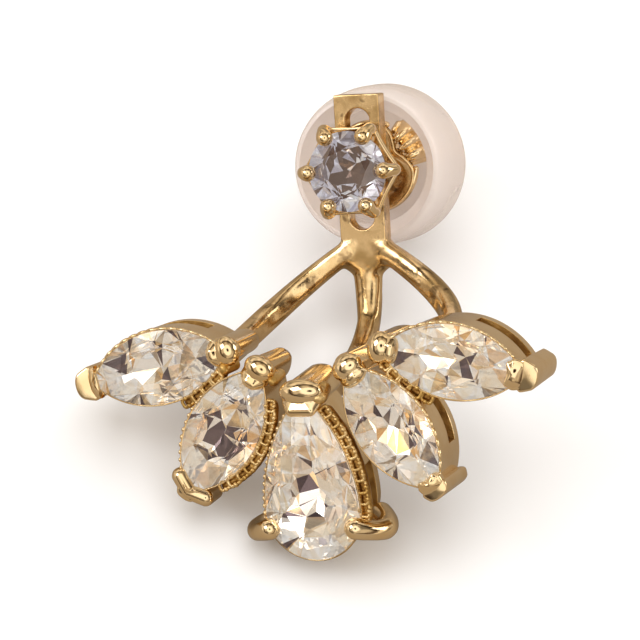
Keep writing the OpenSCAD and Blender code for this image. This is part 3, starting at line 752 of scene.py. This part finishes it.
def tipCap(name, stone, end, cap):
    # A post behind the tip, its shoulder, and the part of it that folds over the stone
    tip, depth = stone["length"] / 2, earring["settingDepth"]
    h, cover, lobe = cap["width"] / 2, cap["cover"], cap["lobes"]
    beyond = tip + cap["past"] + .36
    up = stone["width"] * .15 * min(1, cover / (tip * .42))  # the crown's height under the fold's edge
    post = [(-h, tip - .5), (-h * .92, tip + .05), (-h * .5, beyond), (h * .5, beyond),
            (h * .92, tip + .05), (h, tip - .5), (h * .5, tip - .7), (-h * .5, tip - .7)]
    if not cap["doubled"]:  # an outer block stands proud of its stone, with a flat face
        post = [(-h, tip - .1), (-h * .95, tip + .1), (-h * .62, beyond), (h * .62, beyond),
                (h * .95, tip + .1), (h, tip - .1), (h * .5, tip - .3), (-h * .5, tip - .3)]
    top, edge = (-.06, .14) if cap["doubled"] else (.24, .1)
    parts = [domedPlate(name, post, -depth + .05, top, .04, cap.get("tilt", 0), edge, .9)]
    for lobeSpot, root, r in cap.get("pads", ()):
        near, far, down = Vector(lobeSpot), Vector(root), Vector((0, 0, -1.2))
        balls = [(near, r), (far, r * .95), (near + down, r * .8), (far + down, r * .8)]
        parts.append(meshPiece(name, hullOf(balls, 4), (polishedGold,), 60))
    if "nugget" in cap:
        x, y, r = cap["nugget"]
        balls = [(Vector((x, y, -.15)), r, (1, .8, 1)), (Vector((x, y + .2, -.8)), r * .9)]
        parts.append(meshPiece(name, hullOf(balls), (castGold,), 60))
    if cap["doubled"]:  # a domed shoulder, and below it a smooth fold that narrows over the stone
        shoulder = [(Vector((0, tip + .07, -.12)), 1, (h * 1.04, .54, .48)),
                    (Vector((0, beyond - .38, -.3)), .38, (1.2, 1, 1))]
        fold = [(Vector((0, tip - .38, -.12)), 1, (h * .94, .42, .38))]
        fold += [(Vector((s * lobe, tip - cover + .24, up * .5)), .24, (1, 1, .8)) for s in (-1, 1)]
        dome = joined(name, [meshPiece(name, hullOf(balls, 4), (polishedGold,)) for balls in (shoulder, fold)])
        melt = dome.modifiers.new("meltTogether", "REMESH")
        melt.mode, melt.voxel_size, melt.use_smooth_shade = "VOXEL", .03, True
        soft = dome.modifiers.new("softCrease", "SMOOTH")
        soft.factor, soft.iterations = .5, 10
        plainMesh(dome)
        dome.data.materials.clear()
        dome.data.materials.append(polishedGold)
        parts.append(dome)
    else:
        face = [(-h * .96, tip - .36), (-h * .8, tip - cover * .7), (-lobe, tip - cover), (0, tip - cover + .14),
                (lobe, tip - cover), (h * .8, tip - cover * .7), (h * .96, tip - .36),
                (h * .8, tip + .06), (h * .3, tip + .14), (-h * .3, tip + .14), (-h * .8, tip + .06)]
        slope = -(up + .02) / cover
        parts.append(domedPlate(name, face, -.2, up * .5 + .2, .15, slope * .6, .1))
    piece = joined(name, parts)
    if end < 0:
        moved(piece, Matrix.Diagonal((1, -1, 1, 1)))
    return piece


def pearClaw(side):
    bm = bmesh.new()
    bead, knee, heel = Vector((1.84, -2.1, .3)), Vector((2.74, -2.45, -.8)), Vector((2.1, -2.3, -2.4))
    path, radii = [], []
    for k in range(25):
        t = k / 24
        p = bead * (1 - t) ** 2 + (knee * 2 - (bead + heel) / 2) * 2 * t * (1 - t) + heel * t * t
        path.append(Vector((side * p.x, p.y, p.z)))
        radii.append(.46 - .05 * math.sin(math.pi * min(t * 2, 1)))
    sweep(bm, path, radii, sides=28, capRings=8)
    return meshPiece("pearClaw", bm, (polishedGold,), 60)


def newOpenworkTree():
    # Little square frames in a row with a bead at each of their meeting places
    tree, inp, out = newMakerTree("openwork", dict(openwork, Finish=castGold))
    path = geo(tree, "MeshToCurve", (-900, 0), {"Mesh": inp["Geometry"]})
    steps = geo(tree, "ResampleCurve", (-700, 0),
                {"Curve": path, "Length": inp["Pitch"]}, mode="LENGTH")
    way = geo(tree, "InputTangent", (-700, -300))
    aim = put(tree, "FunctionNodeAlignEulerToVector", (-500, -300), {"Vector": way},
              axis="X", pivot_axis="Z")
    square = geo(tree, "CurvePrimitiveQuadrilateral", (-900, 300),
                 {"Width": inp["Pitch"], "Height": inp["Width"]})
    corner = geo(tree, "FilletCurve", (-700, 300),
                 {"Curve": square, "Radius": inp["Wire"], "Count": 2}, mode="POLY")
    wire = geo(tree, "CurvePrimitiveCircle", (-700, 500), {"Resolution": 8, "Radius": inp["Wire"]})
    hoop = geo(tree, "CurveToMesh", (-500, 300), {"Curve": corner, "Profile Curve": wire})
    uneven = put(tree, "FunctionNodeRandomValue", (-500, 100), {"Seed": inp["Seed"]}, data_type="FLOAT")
    uneven.inputs[2].default_value, uneven.inputs[3].default_value = .82, 1.12
    frames = geo(tree, "InstanceOnPoints", (-200, 200), {
        "Points": steps, "Instance": hoop, "Rotation": aim, "Scale": uneven.outputs[1]})
    ball = geo(tree, "MeshIcoSphere", (-500, 600), {"Radius": inp["Bead"], "Subdivisions": 2})
    beads = []
    for share in (-1, 1):
        half = maths(tree, (-900, -500 - 100 * share), "MULTIPLY", inp["Width"], .5 * share)
        lift = put(tree, "ShaderNodeCombineXYZ", (-700, -500 - 100 * share), {0: .0, 1: half, 2: .04})
        there = geo(tree, "Transform", (-300, -500 - 100 * share),
                    {"Geometry": ball, "Translation": lift})
        least = put(tree, "FunctionNodeRandomValue", (-300, -900 - 100 * share),
                    {"Seed": inp["Seed"]}, data_type="FLOAT")
        least.inputs[2].default_value, least.inputs[3].default_value = .85, 1.15
        beads.append(geo(tree, "InstanceOnPoints", (0, -500 - 100 * share), {
            "Points": steps, "Instance": there, "Rotation": aim, "Scale": least.outputs[1]}))
    both = geo(tree, "JoinGeometry", (200, 0))
    for made in [frames] + beads:
        tree.links.new(made.outputs[0], both.inputs[0])
    smooth = geo(tree, "SetShadeSmooth", (350, 0), {"Geometry": both})
    finishMaker(tree, out, smooth.outputs[0], inp["Finish"])
    return tree


openwork = {"Pitch": .46, "Width": .34, "Wire": .08, "Bead": .11, "Seed": 5}
strips = {  # the stone's side, its neighbour and the neighbour's side, and from where to where
    "pear": (1, "innerRight", -1, .34, .88),
    "innerLeft": (1, "pear", -1, .2, .8),
    "outerLeft": (1, "innerLeft", -1, .6, .92),
    "outerRight": (-1, "innerRight", 1, .6, .92),
}
openworkTree = newOpenworkTree()


def openStrip(first, firstSide, second, secondSide, low, high):
    # Fills the gap between two neighbouring stones, from the foot to the tip of the first
    there = [stoneSpot(fan[second]) @ outlineAt(fan[second], k / 60, secondSide, .08)[0] for k in range(61)]
    points = []
    for k in range(31):
        here = stoneSpot(fan[first]) @ outlineAt(fan[first], low + (high - low) * k / 30, firstSide, .08)[0]
        nearest = min(there, key=lambda q: (q - here).length)
        across = (nearest - here) / 2
        points.append(here + across.normalized() * min(across.length, .2) + Vector((0, .14, 0)))
    flat = [upright.inverted() @ p for p in points]  # laid flat, so the frames face the front
    strip = moved(runMaker(wirePath("openStrip", flat), openworkTree, dict(openwork, Finish=castGold)), upright)
    bm = bmesh.new()
    # A floor behind the openwork in the darker cast gold, so the pits show painted shade
    sweep(bm, [p + Vector((0, .3, 0)) for p in points], [.24] * 31, sides=14)
    return joined("openStrip", [strip, meshPiece("openStripFloor", bm, (castGoldInPaintedShade,), 60)])


nodeNames = {"innerLeft": "inner_stone_left", "innerRight": "inner_stone_right",
             "outerLeft": "outer_stone_left", "outerRight": "outer_stone_right", "pear": "pear_stone"}
for seed, (name, stone) in enumerate(fan.items()):
    parts = [settingWall(name + "Wall", stone)]
    parts.append(milgrainRow(name + "Beads", stone, rimBeads[name], seed))
    parts.append(tipCap(name + "TopCap", stone, 1, caps[name][0]))
    if stone["kind"] == "pear":
        parts += [pearClaw(-1), pearClaw(1)]
    else:
        parts.append(tipCap(name + "FootCap", stone, -1, caps[name][1]))
    if name in strips:
        parts.append(moved(openStrip(name, *strips[name]), stoneSpot(stone).inverted()))
    setting = joined(name + "Setting", parts)
    moved(setting, stoneSpot(stone))
    handOver(setting, "jacket", "gold", "jacket_frame")
    gem = cutStone(name + "Stone", stone, champagneStone, champagnePaintedFoil, seed)
    moved(gem, stoneSpot(stone))
    handOver(gem, "jacket", "fan_stone", nodeNames[name])


# The plate behind the lobe and its arms

plate = {"width": 2.0, "slotWidth": 1.1, "slotLength": 5.15}
arms = {"Arm Width": 1.02, "Arm Thickness": .88, "Edge Round": .3, "Root Swell": .9}
web = {"corner": (.84, -3.0), "cornerSize": .15, "armShare": .1, "armSize": .4, "tongueStart": (0, 2.04, -4.35),
       "tongueBend": (0, 2.06, -6.35), "tongueEnd": .5, "balls": 10, "voxel": .05}
armCurves = {
    "left": ((-.3, 2, -3.175), (-3.055, 1.685, -4.856), (-5.077, 1.748, -6.789), (-4.493, -4.3, -7.377)),
    "right": ((.3, 2, -3.175), (3.055, 1.685, -4.856), (5.077, 1.748, -6.789), (4.493, -4.3, -7.377)),
    "middle": ((0, 2, -3.175), (0, 3.148, -5.965), (0, 1.663, -8.588), (0, -4.75, -8.755)),
}


def newArmTree():
    tree, inp, out = newMakerTree("armSweep", dict(arms, Finish=satinGold))
    path = geo(tree, "MeshToCurve", (-700, 0), {"Mesh": inp["Geometry"]})
    level = geo(tree, "SetCurveNormal", (-500, 0), {"Curve": path})
    level.mode = "Z_UP"
    along = geo(tree, "SplineParameter", (-700, -300))
    swell = put(tree, "ShaderNodeMapRange", (-500, -300), {
        "Value": along.outputs["Factor"], "From Min": 0.0, "From Max": .35,
        "To Min": inp["Root Swell"], "To Max": 1.0}, interpolation_type="SMOOTHSTEP")
    sized = geo(tree, "SetCurveRadius", (-300, 0), {"Curve": level, "Radius": swell})
    bar = geo(tree, "CurvePrimitiveQuadrilateral", (-500, 300),
              {"Width": inp["Arm Thickness"], "Height": inp["Arm Width"]})
    soft = geo(tree, "FilletCurve", (-300, 300),
               {"Curve": bar, "Radius": inp["Edge Round"], "Count": 6}, mode="POLY")
    arm = geo(tree, "CurveToMesh", (0, 0),
              {"Curve": sized, "Profile Curve": soft, "Fill Caps": True})
    tree.links.new(swell.outputs[0], arm.inputs["Scale"])
    finishMaker(tree, out, arm.outputs[0], inp["Finish"])
    return tree


def plateBody():
    bm = bmesh.new()
    half, top = plate["width"] / 2, earring["plateTop"]
    r = plate["slotWidth"] / 2
    straight = plate["slotLength"] / 2 - r
    outer = [(-half, -top), (half, -top), (half, top), (-half, top)]
    hole = [(r * math.cos(a), straight + r * math.sin(a)) for a in (math.pi * k / 24 for k in range(25))]
    hole += [(r * math.cos(a), -straight + r * math.sin(a)) for a in (math.pi + math.pi * k / 24 for k in range(25))]
    edges = []
    for line in (outer, hole):
        verts = [bm.verts.new((x, earring["plateFront"], z)) for x, z in line]
        edges += [bm.edges.new((verts[i], verts[(i + 1) % len(verts)])) for i in range(len(verts))]
    bmesh.ops.triangle_fill(bm, edges=edges, use_beauty=True)
    grown = bmesh.ops.extrude_face_region(bm, geom=bm.faces[:])
    bmesh.ops.translate(bm, verts=[g for g in grown["geom"] if isinstance(g, bmesh.types.BMVert)],
                        vec=(0, earring["plateBack"] - earring["plateFront"], 0))
    return meshPiece("plateBody", bm, (satinGold,))


def plateAndArms():
    tree = newArmTree()
    parts = [plateBody()]
    for name, curve in armCurves.items():
        path = wirePath(name + "Arm", [curvePoint(curve, k / 60) for k in range(61)])
        parts.append(runMaker(path, tree, dict(arms, Finish=satinGold)))
    x, z = web["corner"]
    balls = [((side * x, y, z), web["cornerSize"]) for side in (-1, 1) for y in (1.76, 2.24)]
    for name in ("left", "right"):
        p = curvePoint(armCurves[name], web["armShare"])
        balls.append((Vector((p.x, 2, p.z)), web["armSize"]))
    start, bend = Vector(web["tongueStart"]), Vector(web["tongueBend"])
    end = curvePoint(armCurves["middle"], web["tongueEnd"])
    tongue = []  # runs out into the middle arm
    for k in range(web["balls"]):
        t = k / (web["balls"] - 1)
        middle = start * (1 - t) ** 2 + bend * 2 * t * (1 - t) + end * t * t
        tongue.append((middle, .46 - .05 * t, (1.45 - .32 * math.sin(math.pi / 2 * t), .94, 1)))
    parts.append(meshPiece("web", hullOf(balls + tongue[:1]), (satinGold,)))
    for pair in zip(tongue, tongue[1:]):
        parts.append(meshPiece("webTongue", hullOf(pair), (satinGold,)))
    whole = joined("jacketPlateAndArms", parts)
    cast = whole.modifiers.new("castInOne", "REMESH")
    cast.mode, cast.voxel_size, cast.use_smooth_shade = "VOXEL", web["voxel"], True
    plainMesh(whole)
    softness = whole.vertex_groups.new(name="webZone")
    for v in whole.data.vertices:
        near = 1 - min(1, abs(v.co.z + 4.0) / 1.7)
        if abs(v.co.x) < .8:  # and where the tongue ends
            near = max(near, .3 - min(.3, abs(v.co.z + 6.7) / 5))
        if near > 0 and v.co.z < -3.0:
            softness.add([v.index], near, "REPLACE")
    smooth = whole.modifiers.new("softWeb", "SMOOTH")
    smooth.vertex_group, smooth.factor, smooth.iterations = "webZone", .6, 70
    light = whole.modifiers.new("even", "SMOOTH")
    light.factor, light.iterations = .5, 3
    plainMesh(whole)
    whole.data.materials.clear()
    whole.data.materials.append(satinGold)
    return whole


handOver(plateAndArms(), "jacket", "gold", "jacket_frame")


# The stud

stud = {
    "Claws": 6, "galleryRadius": 2.1, "galleryWire": .06,
    "clawCurve": ((.42, 0, -1.3), (1.75, 0, -1.0), (2.45, 0, -.2), (1.68, 0, .3)),  # out and over the stone
    "post": (  # radius and place along the post, from the head to the grip notch
        (0, 1.2), (.3, 1.2), (.6, 1.2), (.65, 1.25), (.65, 1.42), (.58, 1.5), (.4, 1.5), (.4, 8.95), (.36, 8.99),
        (.26, 9.05), (.24, 9.12), (.24, 9.33), (.26, 9.4), (.36, 9.46), (.4, 9.5)),
    "postTip": ((.4, -.25), (.38, -.15), (.32, -.05), (.22, 0), (0, 0)),
    "seat": ((0, 1.17), (.5, 1.15), (.62, 1.1), (.66, 1.12), (.64, 1.21), (0, 1.21)),
}


def newClawTree():
    tree, inp, out = newMakerTree("crownOfClaws", {"Claws": 6, "Finish": polishedGold})
    middles = geo(tree, "Points", (-500, 200), {"Count": inp["Claws"]})
    index = geo(tree, "InputIndex", (-700, -200))
    share = maths(tree, (-500, -200), "DIVIDE", index.outputs[0], inp["Claws"])
    angle = maths(tree, (-300, -200), "MULTIPLY", share, 2 * math.pi)
    turn = put(tree, "ShaderNodeCombineXYZ", (-100, -200), {2: angle})
    claws = geo(tree, "InstanceOnPoints", (100, 0), {
        "Points": middles, "Instance": inp["Geometry"], "Rotation": turn})
    finishMaker(tree, out, claws.outputs[0], inp["Finish"])
    return tree


def studHead():
    bm = bmesh.new()
    path, radii = [], []
    for k in range(31):
        t = k / 30
        path.append(curvePoint(stud["clawCurve"], t))
        radii.append(.2 + .11 * t + .05 * t ** 8 - .035 * math.exp(-((t - .84) / .07) ** 2))
    sweep(bm, path, radii, sides=24, capRings=7)
    claw = meshPiece("studClaws", bm, (polishedGold,), 60)
    claws = runMaker(claw, newClawTree(), {"Claws": stud["Claws"], "Finish": polishedGold})
    bm = bmesh.new()
    for depth in (-.42, -.66):
        r = stud["galleryRadius"]
        corners = [Vector((r * math.cos(math.pi / 3 * k), r * math.sin(math.pi / 3 * k), depth)) for k in range(6)]
        for a, b in zip(corners, corners[1:] + corners[:1]):
            path = []
            for k in range(9):
                p = a.lerp(b, k / 8)
                path.append(p * (1 - .03 * math.sin(math.pi * k / 8)))
            sweep(bm, path, [stud["galleryWire"]] * 9, sides=10, capRings=3)
    gallery = meshPiece("studGallery", bm, (polishedGold,), 60)
    for part in (claws, gallery):
        moved(part, upright)
    tip = [(r, earring["postEnd"] + back) for r, back in stud["postTip"]]
    post = lathe("studPost", list(stud["post"]) + tip, 48, (polishedGold,))
    # The seat's dark face is painted shade seen through the round stone
    seat = lathe("studSeat", stud["seat"], 48, (paintedShadeGold,))
    return joined("studHead", [claws, gallery, post, seat])


handOver(studHead(), "stud", "gold", "stud_setting")
gem = cutStone("studStone", roundStone, coolStone, coolPaintedFoil, 11)
moved(gem, upright)
handOver(gem, "stud", "round_stone", "stud_stone")


# The clutch

clutch = {"mouth": 1.1, "disc": 2.0, "sheet": .2, "roll": .95, "rollWidth": 1.8, "turn": 32}


def clutchMetal():
    front = earring["clutchFront"] + clutch["mouth"]
    t = clutch["sheet"]
    bm = bmesh.new()
    rings = []
    for j in range(15):  # a dished plate, drawn in at the sides where its wings spring from it
        ring = []
        for k in range(96):
            a = 2 * math.pi * k / 96
            waist = .85 * math.exp(-(math.sin(a - math.radians(clutch["turn"])) / .55) ** 2)
            r = .46 + (clutch["disc"] - waist - .46) * j / 14
            dish = .18 + .1 * math.sin(j / 14 * math.pi) - .16 * (j / 14) ** 3
            ring.append(bm.verts.new((r * math.cos(a), front + dish, r * math.sin(a))))
        rings.append(ring)
    skin(bm, rings)
    disc = meshPiece("clutchDisc", bm, (satinGold,), 60)
    thick = disc.modifiers.new("sheet", "SOLIDIFY")
    thick.thickness, thick.offset = t, 0
    plainMesh(disc)
    bm = bmesh.new()
    for low in (clutch["turn"] + 38, clutch["turn"] + 218):  # the plate's edge is rolled between the wings
        arc = [math.radians(low + 104 * k / 30) for k in range(31)]
        sweep(bm, [(1.86 * math.cos(a), front + .12, 1.86 * math.sin(a)) for a in arc], [.13] * 31, sides=14)
    parts = [disc, meshPiece("clutchRim", bm, (polishedGold,), 60)]
    for turn in (0, 180):
        bm = bmesh.new()
        r, half = clutch["roll"], clutch["rollWidth"] / 2
        rows = []
        for k in range(41):
            a = math.radians(-90 + 240 * k / 40)
            row = []
            for j in range(-24, 25):
                # three uneven scallops across
                crest = abs(math.cos(math.pi * j / 16 + .4 * math.sin(a) + .3 * math.sin(j / 7)))
                rr = r * (.8 + .24 * crest - .1 * (j / 24) ** 2)
                out = math.copysign(abs(math.cos(a)) ** .7, math.cos(a))
                deep = math.copysign(abs(math.sin(a)) ** .7, math.sin(a))
                row.append(bm.verts.new((.45 + r + rr * out, half * j / 24 * (.85 + .25 * out), r + rr * deep)))
            rows.append(row)
        skin(bm, rows, closed=False)
        wing = meshPiece("clutchWing", bm, (polishedGold,), 60)
        thick = wing.modifiers.new("sheet", "SOLIDIFY")
        thick.thickness, thick.offset = t, -1
        plainMesh(wing)
        moved(wing, Matrix.Translation((0, front, 0)) @ Matrix.Rotation(math.radians(-90), 4, "X")
              @ Matrix.Rotation(math.radians(turn - clutch["turn"]), 4, "Z"))
        parts.append(wing)
    return joined("clutchMetal", parts)


sleeve = {
    "radius": 3.45, "length": 4.8, "rim": 3.1, "mouth": 3.0, "flare": 1.15,
    "frontRound": 1.8, "backRound": 1.7, "backFlat": .36,
    "inside": ((.45, 5.6), (2.46, 5.55), (2.5, 5.5), (2.5, 3.6), (2.47, 3.5), (2.46, 3.4), (2.48, 3.25)),
}


def clutchSleeve():
    r, front = sleeve["radius"], earring["clutchFront"]
    back = front + sleeve["length"]
    rim, flat = sleeve["rim"], sleeve["backFlat"] * r
    throat, deep = sleeve["inside"][-1]
    profile = [(sleeve["inside"][0][0], back), *sleeve["inside"]]
    for k in range(1, 9):
        t = k / 8
        profile.append((throat + (sleeve["mouth"] - throat) * t, deep + (front - deep) * t ** sleeve["flare"]))
    for k in range(1, 17):
        a = math.pi / 2 * k / 16
        profile.append((rim + (r - rim) * math.sin(a), front + sleeve["frontRound"] * (1 - math.cos(a))))
    for k in range(21):
        a = math.pi / 2 * k / 20
        profile.append((flat + (r - flat) * math.cos(a), back + sleeve["backRound"] * (math.sin(a) - 1)))
    return lathe("clutchSleeve", profile, 128, (sleeveRubber,), 50)


handOver(clutchMetal(), "clutch", "gold", "clutch_metal")
handOver(clutchSleeve(), "clutch", "silicone", "clutch_silicone")


# Table, light and camera

portrait = {"yaw": 19, "rise": 5.11, "roll": 3.11, "away": 165, "pixelsPerMm": 23.64, "middle": (-1.58, 0, -6.24)}


def setCamera():
    yaw, rise, roll = (math.radians(portrait[k]) for k in ("yaw", "rise", "roll"))
    toCamera = Vector((math.sin(yaw) * math.cos(rise), -math.cos(yaw) * math.cos(rise), math.sin(rise)))
    side = Vector((math.cos(yaw), math.sin(yaw), 0))
    up = toCamera.cross(side).normalized()
    side, up = side * math.cos(roll) - up * math.sin(roll), side * math.sin(roll) + up * math.cos(roll)
    turn = laid.to_3x3().normalized()
    stand = laid @ (Vector(portrait["middle"]) + toCamera * portrait["away"])
    camera = linked("portraitCamera", bpy.data.cameras.new("portraitCamera"))
    axes = Matrix((turn @ side, turn @ up, turn @ toCamera)).transposed()
    camera.matrix_world = Matrix.Translation(stand) @ axes.to_4x4()
    camera.data.sensor_width = 36
    camera.data.lens = portrait["pixelsPerMm"] * portrait["away"] / 640 * 36
    camera.data.clip_start, camera.data.clip_end = .01, 20
    bpy.context.scene.camera = camera
    return turn @ toCamera


tent = {"strength": 1.15, "folds": 2.2, "dark": .45, "light": 1.45, "stops": (  # degrees away from the camera, colour
    (0, (.03, .02, .015)), (8, (.035, .025, .018)), (11, (1.2, 1.12, 1.02)), (28, (1.2, 1.12, 1.02)),
    (35, (.4, .34, .27)), (48, (.4, .34, .27)), (56, (.07, .045, .03)), (62, (.07, .045, .03)),
    (68, (.7, .62, .52)), (95, (.45, .38, .31)), (120, (.5, .44, .37)), (150, (.75, .72, .68)), (180, (1, 1, 1)))}


def setWorld(toCamera):
    # A white tent, dark where the camera looks in and greyer all round that opening
    world = bpy.data.worlds.new("whiteTent")
    bpy.context.scene.world = world
    world.use_nodes = True
    tree = world.node_tree
    background = tree.nodes["Background"]
    way = put(tree, "ShaderNodeTexCoord", (-1100, 0)).outputs["Generated"]
    facing = put(tree, "ShaderNodeVectorMath", (-900, 0), {0: way, 1: tuple(toCamera)}, operation="DOT_PRODUCT")
    angle = maths(tree, (-700, 0), "ARCCOSINE", facing.outputs["Value"])
    share = maths(tree, (-500, 0), "DIVIDE", angle, math.pi)
    ramp = put(tree, "ShaderNodeValToRGB", (-300, 0), {"Fac": share})
    setStops(ramp, tent["stops"], 180)
    tree.links.new(ramp.outputs[0], background.inputs["Color"])
    folds = noise(tree, (-900, -300), way, tent["folds"], 1)
    patch = stretch(tree, (-700, -300), folds, .42, .58, tent["dark"], tent["light"])
    outer = stretch(tree, (-500, -300), share, .17, .22)
    power = put(tree, "ShaderNodeMix", (-300, -300), {"Factor": outer, 2: 1.0, 3: patch}, data_type="FLOAT")
    total = maths(tree, (-100, -300), "MULTIPLY", power.outputs[0], tent["strength"])
    tree.links.new(total, background.inputs["Strength"])


def addSoftbox(name, spot, size, power, mirrored=True, target=(0, 0, .005)):
    lamp = bpy.data.lights.new(name, "AREA")
    lamp.size, lamp.energy = size, power
    box = linked(name, lamp)
    box.location = spot
    box.visible_glossy = mirrored  # the roof lights the table but leaves no glare on the gold
    box.rotation_euler = (Vector(target) - Vector(spot)).to_track_quat("-Z", "Y").to_euler()


def addTable():
    material, tree, shader = newMaterial("paleTable")
    here = put(tree, "ShaderNodeTexCoord", (-700, 0)).outputs["Object"]
    speck = noise(tree, (-500, 0), here, 40, 2)
    shade = blend(tree, (-250, 0), speck, (.92, .94, .97, 1), (.89, .91, .94, 1))
    ray = put(tree, "ShaderNodeLightPath", (-500, 300))
    # In the gold's mirrors the table shows a painted dark brown, a painted darker reflection
    tableWithPaintedReflectionShade = blend(tree, (-100, 0), ray.outputs["Is Glossy Ray"], shade, (.31, .26, .2, 1))
    tree.links.new(tableWithPaintedReflectionShade, shader.inputs["Base Color"])  # calmer in the gold's mirrors
    shader.inputs["Roughness"].default_value = .8
    mesh = bpy.data.meshes.new("table")
    mesh.from_pydata([(-1, -1, 0), (1, -1, 0), (1, 1, 0), (-1, 1, 0)], [], [(0, 1, 2, 3)])
    mesh.materials.append(material)
    linked("table", mesh)


bpy.context.scene.view_settings.view_transform = "Standard"
toCamera = setCamera()
setWorld(toCamera)
addSoftbox("roofSoftbox", (0, 0, .6), .6, 2.3, False)
addSoftbox("keySoftbox", (-.3, -.15, .3), .2, .5)
addSoftbox("fillSoftbox", (.35, .1, .2), .2, .3)
addTable()
print("camera and light set")
